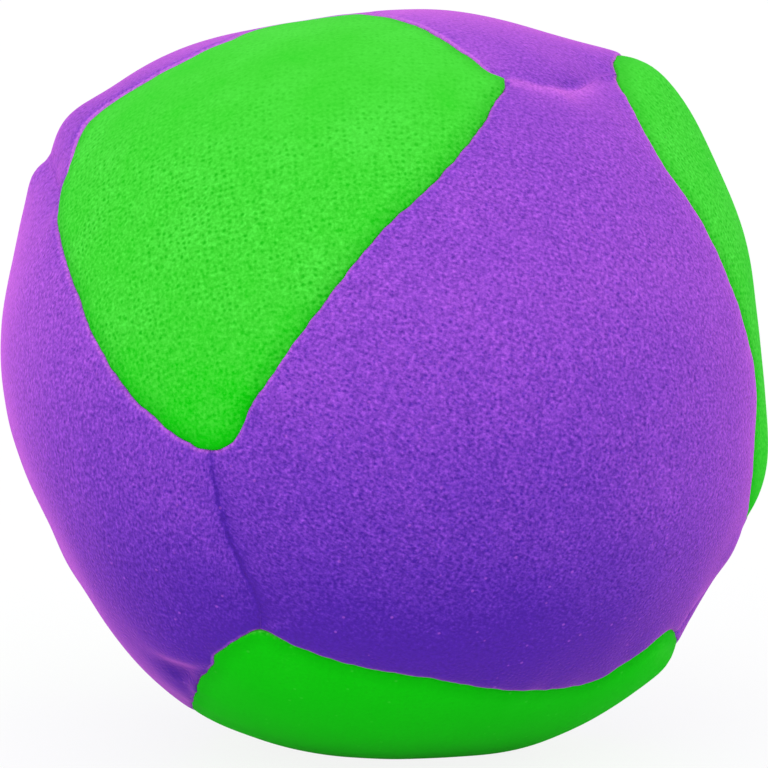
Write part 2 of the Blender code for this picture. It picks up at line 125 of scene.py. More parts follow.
# Each seam's two corners and the places that it passes on its way
SEAMS = {
    ("front_low", "front_high"): (
        (-112.2, -2.3), (-110.8, -1.5), (-109.4, -0.1), (-108.5, 1.8), (-107.6, 3.9), (-105.3, 7.5),
        (-98.0, 18.0), (-91.0, 27.0), (-79.5, 37.0), (-69.5, 45.0), (-63.0, 50.3), (-58.3, 53.3),
    ),
    ("front_low", "front_left"): (
        (-115.5, -2.3), (-119.5, -0.5), (-126.5, 4.0), (-134.0, 10.5), (-141.0, 17.5),
        (-149.0, 23.5), (-154.5, 27.0),
    ),
    ("front_left", "front_high"): (
        (-162.0, 36.0), (-166.2, 40.0), (-167.7, 42.2), (-167.7, 45.5), (-165.5, 50.5), (-162.0, 58.0),
        (-163.0, 65.5), (-171.5, 68.0), (176.0, 70.0), (167.0, 72.5), (158.0, 77.0), (150.0, 81.5),
        (147.5, 86.5), (-114.0, 87.0), (-90.0, 84.0), (-77.0, 78.5), (-69.0, 72.0), (-64.5, 65.0),
        (-61.0, 60.0), (-59.3, 57.0),
    ),
    ("right_high", "right_low"): (
        (-16.8, 51.1), (-21.0, 48.0), (-25.0, 43.2), (-27.0, 38.0), (-24.5, 26.0), (-20.5, 13.0),
        (-16.5, 4.0), (-15.0, -3.0), (-15.0, -9.0), (-12.0, -15.0),
    ),
    ("right_low", "right_rear"): (),
    ("right_rear", "right_high"): ((36.0, 44.0), (12.0, 51.0), (-4.0, 53.8), (-10.0, 53.5)),
    ("base_left", "base_right"): (
        (-108.5, -30.6), (-107.2, -31.1), (-104.3, -32.7), (-98.0, -35.3), (-80.5, -39.5),
        (-56.5, -44.5), (-41.0, -44.0), (-33.0, -39.6), (-25.8, -35.9),
    ),
    ("base_left", "base_rear"): (
        (-110.4, -30.6), (-111.4, -30.9), (-114.0, -32.3), (-117.0, -34.2), (-119.8, -36.2),
        (-121.2, -38.3), (-123.5, -40.2), (-126.8, -42.2), (-132.0, -46.7), (-143.0, -53.0),
    ),
    ("base_rear", "base_right"): ((25.0, -66.0), (-1.5, -51.2), (-10.5, -41.0)),
    ("back_low", "back_left"): (),
    ("back_left", "back_right"): (),
    ("back_right", "back_low"): (),
    ("front_low", "base_left"): (
        (-113.5, -5.5), (-113.0, -9.5), (-112.0, -14.5), (-110.5, -19.5), (-109.0, -24.0),
        (-108.7, -27.5),
    ),
    ("front_high", "right_high"): (
        (-51.5, 54.8), (-45.0, 53.0), (-37.0, 52.0), (-29.0, 52.5), (-21.0, 53.0),
    ),
    ("base_right", "right_low"): ((-13.0, -33.0), (-9.0, -26.5)),
    ("front_left", "back_left"): ((-164.0, 32.0), (-170.0, 33.5), (-177.0, 34.5)),
    ("base_rear", "back_low"): (),
    ("right_rear", "back_right"): (),
}

# Each panel's corners, and the way in which the rows of its knit run
GREEN_PANELS = {
    "green_panel_front": (("front_low", "front_high", "front_left"), (1.0, 0.0, 0.05)),
    "green_panel_right": (("right_high", "right_low", "right_rear"), (0.2, -1.0, 0.3)),
    "green_panel_base": (("base_left", "base_rear", "base_right"), (1.0, 0.1, 0.0)),
    "green_panel_back": (("back_left", "back_right", "back_low"), (1.0, 0.0, 0.4)),
}
PURPLE_PANELS = {
    "purple_panel_front": (
        ("front_low", "base_left", "base_right", "right_low", "right_high", "front_high"),
        (0.93, 0.0, -0.36),
    ),
    "purple_panel_left": (
        ("front_low", "front_left", "back_left", "back_low", "base_rear", "base_left"),
        (0.2, -0.3, 1.0),
    ),
    "purple_panel_top": (
        ("front_left", "front_high", "right_high", "right_rear", "back_right", "back_left"),
        (1.0, 0.2, 0.0),
    ),
    "purple_panel_under": (
        ("base_right", "base_rear", "back_low", "back_right", "right_rear", "right_low"),
        (0.4, 1.0, 0.2),
    ),
}

# The seams between two purple panels: the depth, the reach and the width of the round bottom of the
# valley along each
SHORT_SEAMS = {
    ("front_low", "base_left"): (0.30 * MM, 1.0 * MM, 0.35 * MM),
    ("front_high", "right_high"): (0.42 * MM, 1.8 * MM, 0.9 * MM),
    ("base_right", "right_low"): (0.32 * MM, 1.0 * MM, 0.3 * MM),
    ("front_left", "back_left"): (0.62 * MM, 1.4 * MM, 0.35 * MM),
    ("base_rear", "back_low"): (0.50 * MM, 1.2 * MM, 0.4 * MM),
    ("right_rear", "back_right"): (0.50 * MM, 1.2 * MM, 0.4 * MM),
}
GREEN_VALLEY = (0.24 * MM, 1.0 * MM, 0.1 * MM)  # on the green side of the other seams
PURPLE_VALLEY = (0.12 * MM, 0.8 * MM, 0.1 * MM)  # on their purple side

# Painted shade and painted highlight along the seams, darker in the creases and lighter along some
# rolled edges: by panel and seam, the changes of tone at the seam, how far each reaches and its shares
# at the two ends of the seam
SEAM_SHADE_AND_HIGHLIGHT = {
    ("purple_panel_front", ("front_low", "base_left")): (
        (-0.32, 0.17 * MM, 0.6, 0.9),
        (-0.09, 0.6 * MM, 0.3, 1.0),
    ),
    ("purple_panel_left", ("front_low", "base_left")): (
        (-0.32, 0.15 * MM, 0.6, 0.9),
        (-0.03, 0.5 * MM, 0.3, 1.0),
    ),
    ("purple_panel_front", ("front_high", "right_high")): ((0.44, 1.05 * MM, 0.9, -0.7),),
    ("purple_panel_top", ("front_high", "right_high")): (
        (0.42, 0.24 * MM, 0.8, -0.5),
        (-0.17, 1.4 * MM, -0.3, -0.2),
    ),
    ("purple_panel_left", ("front_left", "back_left")): ((0.04, 0.5 * MM, 0.7, 0.7),),
    ("purple_panel_top", ("front_left", "back_left")): ((-0.06, 1.0 * MM, 0.7, 0.7),),
    ("purple_panel_front", ("base_right", "right_low")): (),
    ("purple_panel_under", ("base_right", "right_low")): (),
    ("purple_panel_front", ("right_high", "right_low")): ((0.30, 0.50 * MM, 1.0, 0.6),),
    ("purple_panel_top", ("front_left", "front_high")): ((0.20, 0.30 * MM, 1.0, 0.3),),
}
OTHER_SEAM_SHADE = ((-0.12, 0.4 * MM, 0.7, 0.7),)  # painted shade along the other seams between two purple panels
CREASE_FADE = 5.0 * MM  # over which the painted shade and highlight along a seam grow from their share at an end to full tone

# How strongly the painted highlight line shows along a seam with a green panel, where not fully
EDGE_HIGHLIGHT_SHARES = {
    ("front_low", "front_high"): 0.45,
    ("front_low", "front_left"): 0.45,
    ("base_left", "base_right"): 0.45,
    ("base_left", "base_rear"): 1.3,
}
# How deep the valley along a seam with a green panel is, where not fully
VALLEY_SHARES = {("base_left", "base_rear"): 0.25}
VALLEY_POWER = 4  # with which the valleys of a corner run together

# Broad patches of painted light and painted shade, mostly lighter at the sides and top of the ball:
# azimuth, elevation, reach in degrees, tone
PAINTED_LIGHT_PATCHES = {
    "purple_panel_left": (
        (-152.0, 0.0, 24.0, 0.13), (-180.0, 8.0, 20.0, 0.07), (-160.0, -44.0, 13.0, -0.12),
    ),
    "purple_panel_front": (
        (-32.0, -6.0, 19.0, 0.09), (-4.0, 0.0, 16.0, 0.08), (-44.0, -16.0, 14.0, 0.06),
    ),
    "purple_panel_top": (
        (-176.0, 47.0, 11.0, -0.10), (-75.0, 82.0, 12.0, 0.24), (-60.0, 60.0, 5.0, 0.14),
    ),
}

# Small puffs and dips of the loosely held fabric: azimuth, elevation and reach in degrees, and rise
PUFFS = (
    (-178.5, 31.5, 3.2, 0.32 * MM),
    (-179.0, 40.8, 5.0, 0.38 * MM),
    (-169.0, -30.0, 5.5, 0.26 * MM),
    (-9.5, -25.0, 5.0, 0.34 * MM),
    (-14.5, -36.0, 3.0, -0.20 * MM),
    (-14.5, -42.5, 4.2, 0.36 * MM),
    (1.0, 49.0, 5.0, 0.18 * MM),
    (-43.5, 51.8, 1.9, 0.13 * MM),
    (-38.0, 51.0, 2.6, -0.10 * MM),
    (3.0, 59.0, 6.0, -0.16 * MM),
)

# Slack folds by panel: the places along each, the height of its ridge, and the depth and reach of the
# hollow on its right-hand side
LEFT_FOLD = (
    (-141.5, -36.2), (-138.0, -36.1), (-134.0, -36.2), (-130.5, -36.8), (-127.0, -37.3),
    (-124.0, -37.8), (-121.5, -38.0),
)
FOLDS = {"purple_panel_left": ((LEFT_FOLD, 0.18 * MM, 0.72 * MM, 4.4 * MM),)}
FOLD_LIMIT_SHARE = 2.0  # of the hollow's reach, past which a fold has no effect
RIDGE_REACH = 1.15 * MM
RIDGE_BACK_SHARE = 2.5  # of the ridge's reach, on the side away from the hollow
HOLLOW_START_SHARE = 1.55  # of the ridge's reach
HOLLOW_SHADE_TONE = -0.50  # painted shade in a hollow
HOLLOW_SHADE_START = 1.0 * MM  # over which the painted shade darkens
RIDGE_HIGHLIGHT_TONE = 0.08  # painted highlight on a ridge
# reach of the painted highlight on a ridge
RIDGE_HIGHLIGHT_REACH = 0.7 * MM
FOLD_START_REACH = 5.0 * MM  # over which a fold grows from its first place
FOLD_END_REACH = 2.0 * MM  # over which it falls towards its last place
FOLD_END_SHARE = 0.6  # of its height, left there
FOLD_SEAM_REACH = 0.8 * MM  # from a seam, which holds the fabric up

# Unevenness of the fabric
SWELL_SIZE = 9.0 * MM
SWELL_HEIGHT = 0.10 * MM
DENT_SIZE = 3.2 * MM
DENT_HEIGHT = 0.035 * MM
PUCKER_SIZE = 2.0 * MM
PUCKER_HEIGHT = 0.11 * MM
PUCKER_REACH = 1.6 * MM
# Waver of a seam from its smooth curve: the size and height of its waves
WANDER = ((1.1 * MM, 0.10 * MM), (0.45 * MM, 0.045 * MM))
WANDER_REACH = 0.4 * MM  # from the seam into a panel
WANDER_END = 1.2 * MM  # over which it grows from a corner
# Seeds of the noise, and the step through it from one seed to the next
SEED_STEP = (7.3, 3.1, 5.7)
WANDER_SEED = 1
FIRST_PANEL_SEED = 2
DENT_SEED_SHIFT = 20  # from the seed of a panel's swells
PUCKER_SEED = 50  # the same on both sides of a seam

# Pellets
PELLET_SPACING = 3.0 * MM
PELLET_RADIUS = 2.0 * MM
PACK_SUBDIVISIONS = 6

# Camera and stage, with places by azimuth and elevation
CAMERA_FROM = (-90.0, 8.0)
CAMERA_DISTANCE = 280.0 * MM
LENS_MM = 194.7
SENSOR_MM = 36.0
PHOTO_WIDTH = 768
BALL_MIDDLE_PIXEL = (377.4, 379.5)
FLOOR_SIZE = 6.0
FLOOR_DROP = 0.02 * MM
FLOOR_WHITE = (1.0, 1.0, 1.0, 1.0)
FLOOR_BOUNCE = (0.92, 0.92, 0.96, 1.0)
FLOOR_WASH = 0.88  # how far the floor is washed out to plain white
SKY_LIGHT = (0.86, 0.86, 0.88, 1.0)
KEY_STRENGTH = 0.75
KEY_SPREAD = 50.0  # degrees across
KEY_FROM = (-103.0, 52.0)

# Suede: the vertex values that steer it, its noises, each with its detail and roughness, and sizes in
# millimetres
SEAM_VALUE = "seam_mm"
# the strength of the painted highlight line along a seam
EDGE_HIGHLIGHT_VALUE = "edge_highlight_share"
# the vertices' tone of painted light and shade, from the seams, the patches and the fold
PAINTED_LIGHT_VALUE = "painted_light_and_shade"
KNIT_MAP = "knit"
NOISE_MIDDLE = 0.5
GRAIN_NOISE = (2.0, 0.6)
FIBRE_NOISE = (1.0, 0.5)
PATCH_NOISE = (3.0, 0.55)
BEND_NOISE = (1.0, 0.5)
PATCH_PER_MM = 0.2
BEND_PER_MM = 0.7
KNIT_BEND = 0.45
FAINT_PATCHES = (0.3, 0.62)  # from the patches where the knit is faint to those where it is clear
FAINT_HIGHLIGHT_PATCHES = (0.3, 0.6)  # the same for the painted highlight line along the seams
# the share of the painted highlight line left in its faint patches
FAINT_HIGHLIGHT_SHARE = 0.6
LINT_PER_MM = 0.8
LINT_SIZE = (0.05, 0.11)
# millimetres over which the painted shade along a seam fades
SEAM_SHADE_REACH = 1.5
PAINTED_SHADE_DULLING = 0.35  # how much the painted shade of a crease, a dark patch or the hollow dulls the colour too
# the slopes of faces turned down over which the tone falls further: painted shade
LOW_SHADE_SLOPES = (-0.75, -0.2)
# millimetres from a seam over which the painted highlight line fades out
EDGE_HIGHLIGHT_BAND = (0.08, 0.30)
STITCH_RELIEF = -0.7  # by the relief of the grain
NAP_ROUGHNESS = (-0.3, 0.3, 0.84, 0.96)  # the grain's lowest and highest, and the roughness at each
NAP_SPECULAR = 0.03


def unit(vectors):
    return vectors / np.linalg.norm(vectors, axis=-1, keepdims=True)


def direction(azimuth, elevation):
    a, e = np.radians((azimuth, elevation))
    return np.array((np.cos(e) * np.cos(a), np.cos(e) * np.sin(a), np.sin(e)))


def bell(distance, reach):
    """One at no distance, falling smoothly to none well past the reach."""
    return np.exp(-((distance / reach) ** 2))


def plateau(distance, reach):
    """Nearly one within the reach, falling fast to none past it."""
    return np.exp(-((distance / reach) ** 4))


def spots(directions, table):
    """The sum of a table's round spots, each given by azimuth, elevation, reach and height."""
    total = np.zeros(directions.shape[:-1])
    for azimuth, elevation, reach, height in table:
        away = np.degrees(np.arccos(np.clip(directions @ direction(azimuth, elevation), -1, 1)))
        total = total + height * bell(away, reach)
    return total


def surface_radius(directions):
    """Distance from the ball's middle to the outer face, before the finer unevenness."""
    return BALL_RADIUS * (1 + spots(directions, LUMP_SHARES))


def ball_middle():
    below = surface_radius(direction(0.0, -90.0))
    return np.array((0, 0, np.sqrt(below**2 - REST_RADIUS**2)))


def placed(directions, lift, floor=0.0):
    """Points at a height over the ball's face, flattened where they would sink into the floor."""
    points = ball_middle() + directions * (surface_radius(directions) + lift)[..., None]
    above = points[..., 2] - floor
    points[..., 2] = floor + (above + np.sqrt(above**2 + FLOOR_BLEND**2)) / 2
    return points


def smooth_curve(points):
    """A smooth curve through unit vectors, laid on the unit ball."""
    points = np.array(points)
    knots = np.concatenate([[0], np.cumsum(np.linalg.norm(np.diff(points, axis=0), axis=1))])
    slopes = np.gradient(points, knots, axis=0)
    curve = []
    for i, span in enumerate(np.diff(knots)):
        for t in np.linspace(0, 1, CURVE_STEPS, endpoint=False):
            curve.append(
                points[i] * (1 + 2 * t) * (1 - t) ** 2
                + slopes[i] * span * t * (1 - t) ** 2
                + points[i + 1] * t**2 * (3 - 2 * t)
                + slopes[i + 1] * span * t**2 * (t - 1)
            )
    return unit(np.array([*curve, points[-1]]))


def path_length(curve):
    return BALL_RADIUS * np.linalg.norm(np.diff(curve, axis=0), axis=1).sum()


def evenly(curve, steps):
    """Points at equal steps of length along a curve, both of its ends included."""
    along = np.concatenate([[0], np.cumsum(np.linalg.norm(np.diff(curve, axis=0), axis=1))])
    wanted = np.linspace(0, along[-1], steps + 1)
    return unit(np.stack([np.interp(wanted, along, curve[:, k]) for k in range(3)], axis=1))


def seam_curve(start, end, places):
    """Directions along a seam, bowed out of its green panel where no places are given."""
    first, last = direction(*CORNERS[start]), direction(*CORNERS[end])
    if places:
        return smooth_curve([first, *(direction(*place) for place in places), last])
    halfway = unit(first + last)
    for corners, _ in GREEN_PANELS.values():
        if start in corners and end in corners:
            away = halfway - unit(sum(direction(*CORNERS[name]) for name in corners))
            away = unit(away - halfway * (away @ halfway))
            bow = np.radians(HIDDEN_BOW_DEGREES)
            halfway = halfway * np.cos(bow) + away * np.sin(bow)
    return smooth_curve([first, halfway, last])


def ripple(points, size, seed):
    """Smooth random values, from about -1 to 1, at points in space."""
    shift = Vector([seed * step for step in SEED_STEP])
    return np.array([noise.noise(Vector(point) / size + shift) for point in points])


def ways_left(path):
    """The direction to the left of a path over the ball, at each of its points."""
    return unit(np.cross(path, np.gradient(path, axis=0)))


def waver(path):
    """Sideways stray of a sewn line from its smooth curve, none at its ends."""
    places = np.arange(len(path)) * FINE_SPACING
    ends = np.minimum(places, places[::-1])
    stray = sum(width * ripple(path * BALL_RADIUS, size, WANDER_SEED) for size, width in WANDER)
    return stray * np.clip(ends / WANDER_END, 0, 1)


def all_seams():
    """Every seam's fine curve, its ways to the left and its stray, by its corners in either order."""
    seams = {}
    for (start, end), places in SEAMS.items():
        curve = seam_curve(start, end, places)
        path = evenly(curve, round(path_length(curve) / FINE_SPACING))
        left, stray = ways_left(path), waver(path)
        seams[start, end] = path, left, stray
        seams[end, start] = path[::-1], -left[::-1], -stray[::-1]
    return seams


SEAM_LINES = all_seams()


def seam_path(side, distance):
    """The path along a seam at a distance to its left over the ball."""
    path, left, stray = SEAM_LINES[side]
    aside = distance + stray * np.exp(-distance / WANDER_REACH)
    return unit(path + left * (aside / surface_radius(path))[:, None])


def sides_of(corners):
    return [(corner, corners[(i + 1) % len(corners)]) for i, corner in enumerate(corners)]


def crossing(first, second):
    """Where two paths cross or meet, the first near its end and the second near its start."""
    tail, head = first[-CORNER_STEPS:], second[:CORNER_STEPS]
    apart = np.linalg.norm(tail[:, None] - head[None], axis=2)
    i, j = np.unravel_index(np.argmin(apart), apart.shape)
    return len(first) - len(tail) + i, j, unit(tail[i] + head[j])


def inset_outline(corners, distance, spacing):
    """A panel's outline moved in from its seams, in even steps between its new corners."""
    sides = sides_of(corners)
    paths = [seam_path(side, distance) for side in sides]
    crossings = [crossing(paths[i - 1], paths[i]) for i in range(len(paths))]
    outline = []
    for i, (side, path) in enumerate(zip(sides, paths)):
        _, start, first = crossings[i]
        end, _, last = crossings[(i + 1) % len(paths)]
        inset = np.array([first, *path[start + 1 : end], last])
        steps = round(path_length(SEAM_LINES[side][0]) / spacing)
        outline.append(evenly(inset, steps)[:-1])
    return np.concatenate(outline)


def flattened(directions, turned):
    """The directions on a flat map of the ball about the third axis of a turned frame."""
    along = directions @ turned
    return 2 * along[:, :2] / (1 + along[:, 2:])


def raised(flat, turned):
    """The directions of the points of such a map."""
    off = np.sum(flat**2, axis=1, keepdims=True) / 4
    return np.hstack([flat, 1 - off]) / (1 + off) @ turned.T


def search_tree(points):
    tree = KDTree(len(points))
    for i, point in enumerate(points):
        tree.insert(point, i)
    tree.balance()
    return tree


def spread_points(border):
    """A three-way grid of points over a flat outline, those near or outside its border left out."""
    spacing = POINT_SPACING / BALL_RADIUS
    low, high = border.min(axis=0), border.max(axis=0)
    rows = np.arange(low[1], high[1], spacing * np.sin(np.pi / 3))
    columns = np.arange(low[0], high[0], spacing)
    grid = np.array([(x + (i % 2) * spacing / 2, y) for i, y in enumerate(rows) for x in columns])
    before, after = border, np.roll(border, -1, axis=0)
    inside = np.zeros(len(grid), bool)
    for (x0, y0), (x1, y1) in zip(before, after):
        spans = (grid[:, 1] < y0) != (grid[:, 1] < y1)
        if y0 != y1:
            inside ^= spans & (grid[:, 0] < x0 + (grid[:, 1] - y0) * (x1 - x0) / (y1 - y0))
    grid = grid[inside]
    tree = search_tree([(*point, 0) for point in border])
    away = np.array([tree.find((*point, 0))[2] for point in grid])
    return grid[away > BORDER_SHARE * spacing]


def panel_grid(corners):
    """The points of a panel, with close rings along its seams: their directions, their places on a
    flat map, their triangles, those on the rim in order, and the turned frame of the map."""
    rings = []
    for share in RING_SHARES:
        spacing = EDGE_SPACING + (POINT_SPACING - EDGE_SPACING) * share / RING_SHARES[-1]
        rings.append(inset_outline(corners, TOUCH_GAP + share * RING_REACH, spacing))
    turned = np.array(Vector(rings[0].mean(axis=0)).to_track_quat("Z", "Y").to_matrix())
    flat_rings = [flattened(ring, turned) for ring in rings]
    inner = spread_points(flat_rings[-1])
    flat = [Vector(point) for point in np.vstack([*flat_rings, inner])]
    whole = [list(range(len(rings[0])))]
    points, _, faces, sources, _, _ = delaunay_2d_cdt(flat, [], whole, INSIDE_ONLY, ROUNDING)
    flat = np.array([point[:] for point in points])
    rim = [0] * len(rings[0])
    for i, source in enumerate(sources):
        if source and source[0] < len(rim):
            rim[source[0]] = i
    return raised(flat, turned), flat, faces, rim, turned


def seam_distances(corners, aims):
    """For each of a panel's sides, how far the points lie from it and the place next to them."""
    rows = []
    for side in sides_of(corners):
        path = seam_path(side, 0.0)
        tree = search_tree(path)
        found = [tree.find(aim) for aim in aims]
        away = np.array([near for _, _, near in found]) * BALL_RADIUS
        rows.append((away, path[[i for _, i, _ in found]]))
    return rows


def nearest_seam(distances):
    """How far each point lies from its nearest side, which side that is and the place next to it."""
    rows = [away for away, _ in distances]
    closest = np.argmin(rows, axis=0)
    beside = np.array([distances[side][1][k] for k, side in enumerate(closest)])
    return np.min(rows, axis=0), closest, beside


def looked_up(table, side, otherwise=None):
    """A table's entry for a side, whichever way round it is named."""
    return table.get(side, table.get(side[::-1], otherwise))


def is_short(side):
    """Whether a side lies between two purple panels."""
    return looked_up(SHORT_SEAMS, side) is not None


def edge_highlight_share(side):
    """How strongly the painted highlight line shows along a side, none between two purple panels."""
    return 0.0 if is_short(side) else looked_up(EDGE_HIGHLIGHT_SHARES, side, 1.0)


def valley_of(side, green):
    """Depth, reach and bottom width of the valley along a panel's side."""
    if is_short(side):
        return looked_up(SHORT_SEAMS, side)
    depth, reach, bottom = GREEN_VALLEY if green else PURPLE_VALLEY
    return depth * looked_up(VALLEY_SHARES, side, 1.0), reach, bottom


def edge_depth(corners, green, distances):
    """Depth of the fabric's face below the ball's: a soft valley along each side, and a tight roll."""
    valleys = np.zeros(len(distances[0][0]))
    rolls = np.zeros(len(distances[0][0]))
    for side, (away, _) in zip(sides_of(corners), distances):
        depth, reach, bottom = valley_of(side, green)
        rounded = np.sqrt(away**2 + bottom**2) - bottom
        valleys += (depth * np.exp(-rounded / reach)) ** VALLEY_POWER
        radius, drop = SLACK_ROLL if is_short(side) else GREEN_ROLL if green else PURPLE_ROLL
        off = np.clip(1 - away / radius, 0, 1)
        rolls = np.maximum(rolls, drop * (1 - np.sqrt(1 - off**2)))
    return valleys ** (1 / VALLEY_POWER) + rolls


def painted_seam_tones(panel, corners, distances, closest):
    """The painted shade and painted highlight along a panel's seams, each in the points closest to it.
    """
    painted_tones = np.zeros(len(closest))
    for k, side in enumerate(sides_of(corners)):
        seam = side if (panel, side) in SEAM_SHADE_AND_HIGHLIGHT else side[::-1]
        bands = SEAM_SHADE_AND_HIGHLIGHT.get((panel, seam), OTHER_SEAM_SHADE if is_short(side) else ())
        away, beside = distances[k]
        ends = [np.linalg.norm(beside - direction(*CORNERS[corner]), axis=1) for corner in seam]
        grown = [np.clip(end * BALL_RADIUS / CREASE_FADE, 0, 1) for end in ends]
        for tone, reach, *shares in bands:
            shown = np.min([share + (1 - share) * part for share, part in zip(shares, grown)], axis=0)
            painted_tones += np.where(closest == k, tone * np.maximum(shown, 0) * bell(away, reach), 0.0)
    return painted_tones


def fold_lift(directions, places, ridge, hollow, reach):
    """The rise and fall of the fabric across a slack fold, with painted shade in its hollow and a
    painted highlight on its ridge.
    """
    path = smooth_curve([direction(*place) for place in places])
    tree = search_tree(path)
    length = path_length(path)
    lift = np.zeros(len(directions))
    painted_tones = np.zeros(len(directions))
    for k, point in enumerate(directions):
        _, i, near = tree.find(point)
        away = near * BALL_RADIUS
        if away > FOLD_LIMIT_SHARE * reach:
            continue
        along = length * i / (len(path) - 1)
        start = min(1.0, along / FOLD_START_REACH)
        end = min(1.0, (length - along) / FOLD_END_REACH + FOLD_END_SHARE)
        fade = start**2 * (3 - 2 * start) * end
        ahead = path[min(i + 1, len(path) - 1)] - path[max(i - 1, 0)]
        if np.cross(path[i], ahead) @ (point - path[i]) > 0:
            rise = ridge * bell(away, RIDGE_BACK_SHARE * RIDGE_REACH)
            tone = 0.0
        else:
            sunk = (1 - bell(away, HOLLOW_START_SHARE * RIDGE_REACH)) * plateau(away, reach)
            rise = ridge * bell(away, RIDGE_REACH) - hollow * sunk
            tone = HOLLOW_SHADE_TONE * (1 - bell(away, HOLLOW_SHADE_START)) * plateau(away, reach)
        lift[k] = rise * fade
        painted_tones[k] = (tone + RIDGE_HIGHLIGHT_TONE * bell(away, RIDGE_HIGHLIGHT_REACH)) * fade
    return lift, painted_tones


def panel_relief(name, corners, aims, distances, nearest):
    """How far a panel's face rises over the ball's, and the painted light and shade that it carries:
    along its seams, in broad patches and across its fold.
    """
    away, closest, beside = nearest
    seed = FIRST_PANEL_SEED + sorted([*GREEN_PANELS, *PURPLE_PANELS]).index(name)
    calm = 1 - bell(away, PUCKER_REACH)
    lift = spots(aims, PUFFS) - edge_depth(corners, name in GREEN_PANELS, distances)
    lift += SWELL_HEIGHT * calm * ripple(aims * BALL_RADIUS, SWELL_SIZE, seed)
    lift += DENT_HEIGHT * calm * ripple(aims * BALL_RADIUS, DENT_SIZE, seed + DENT_SEED_SHIFT)
    pucker = ripple(beside * BALL_RADIUS, PUCKER_SIZE, PUCKER_SEED)
    lift += PUCKER_HEIGHT * pucker * np.exp(-away / PUCKER_REACH) * np.clip(away / RING_REACH, 0, 1)
    painted_tones = painted_seam_tones(name, corners, distances, closest) + spots(aims, PAINTED_LIGHT_PATCHES.get(name, ()))
    for places, ridge, hollow, reach in FOLDS.get(name, ()):
        rise, change = fold_lift(aims, places, ridge, hollow, reach)
        lift += rise * (1 - bell(away, FOLD_SEAM_REACH))
        painted_tones += change
    return lift, painted_tones


def knit_places(flat, turned, rows):
    """A panel's flat map in millimetres, turned to the way in which the rows of its knit run."""
    row_way = np.array(rows) @ turned
    turn = np.arctan2(row_way[1], row_way[0])
    cos, sin = np.cos(turn), np.sin(turn)
    return flat @ np.array(((cos, -sin), (sin, cos))) * BALL_RADIUS / MM


def turn_in(mesh, corners, ring, rim_aims, rim_depth):
    """The turned-in edge below a panel's rim, ring by ring, as the new rings of vertices."""
    highlight_layer = mesh.verts.layers.float[EDGE_HIGHLIGHT_VALUE]
    deep_aims = inset_outline(corners, SEAM_GAP / 2, EDGE_SPACING)
    rings = []
    for share in FLANGE_SHARES:
        depth = rim_depth + share * (FOLD_RADIUS + ALLOWANCE - rim_depth)
        aims = deep_aims if rings else rim_aims
        lower = [mesh.verts.new(place) for place in placed(aims, -depth, depth)]
        for i, vert in enumerate(lower):
            k = (i + 1) % len(lower)
            # the strength of the painted highlight line runs on down the turned-in edge
            vert[highlight_layer] = ring[i][highlight_layer]
            mesh.faces.new((ring[i], vert, lower[k], ring[k]))
        rings.append(lower)
        ring = lower
    return rings


def build_panel(name, corners, rows, material, collection):
    """One fabric panel: its outer face, rolled edges, turned-in allowance and thickness."""
    aims, flat, faces, rim, turned = panel_grid(corners)
    distances = seam_distances(corners, aims)
    nearest = nearest_seam(distances)
    away, closest, _ = nearest
    # with the painted light and shade that each point carries
    lift, painted_tones = panel_relief(name, corners, aims, distances, nearest)
    sides = sides_of(corners)
    # how strongly the painted highlight line shows at each point
    shares = np.array([edge_highlight_share(side) for side in sides])[closest]

    mesh = bmesh.new()
    knit_layer = mesh.loops.layers.uv.new(KNIT_MAP)
    layers = [mesh.verts.layers.float.new(value) for value in (SEAM_VALUE, EDGE_HIGHLIGHT_VALUE, PAINTED_LIGHT_VALUE)]
    verts = []
    for place, *values in zip(placed(aims, lift), away / MM, shares, painted_tones):
        vert = mesh.verts.new(place)
        for layer, value in zip(layers, values):
            vert[layer] = value
        verts.append(vert)
    for face in faces:
        mesh.faces.new([verts[i] for i in face])

    rim_verts = [verts[i] for i in rim]
    rings = turn_in(mesh, corners, rim_verts, aims[rim], -lift[rim])
    for i, vert in enumerate(rim_verts):
        edge = mesh.edges.get((vert, rim_verts[(i + 1) % len(rim)]))
        edge.smooth = not is_short(sides[closest[rim[i]]])  # a smooth rim would shine as a line there

    index_of = {vert: i for i, vert in enumerate(verts)}
    for ring in rings:
        index_of.update(zip(ring, rim))
    knit = knit_places(flat, turned, rows)
    for face in mesh.faces:
        face.smooth = True
        for loop in face.loops:
            loop[knit_layer].uv = knit[index_of[loop.vert]]
    bmesh.ops.recalc_face_normals(mesh, faces=mesh.faces[:])

    piece = new_piece(mesh, name.replace("panel", "suede"), collection, material)
    solidify = piece.modifiers.new("fabric", "SOLIDIFY")
    solidify.thickness = FABRIC_THICKNESS
    solidify.offset = -1.0
    return piece


def new_piece(mesh, name, collection, material):
    """An object of a finished mesh, in its collection and with its material."""
    data = bpy.data.meshes.new(name)
    mesh.to_mesh(data)
    mesh.free()
    data.materials.append(material)
    piece = bpy.data.objects.new(name, data)
    collection.objects.link(piece)
    return piece


def new_nodes(material):
    """The empty node tree of a material or a world."""
    material.use_nodes = True
    tree = material.node_tree
    tree.nodes.clear()
    return tree


# Sockets of a mix node for colours
MIX_SHARE = 0
MIX_FIRST = 6
MIX_SECOND = 7
MIX_RESULT = 2


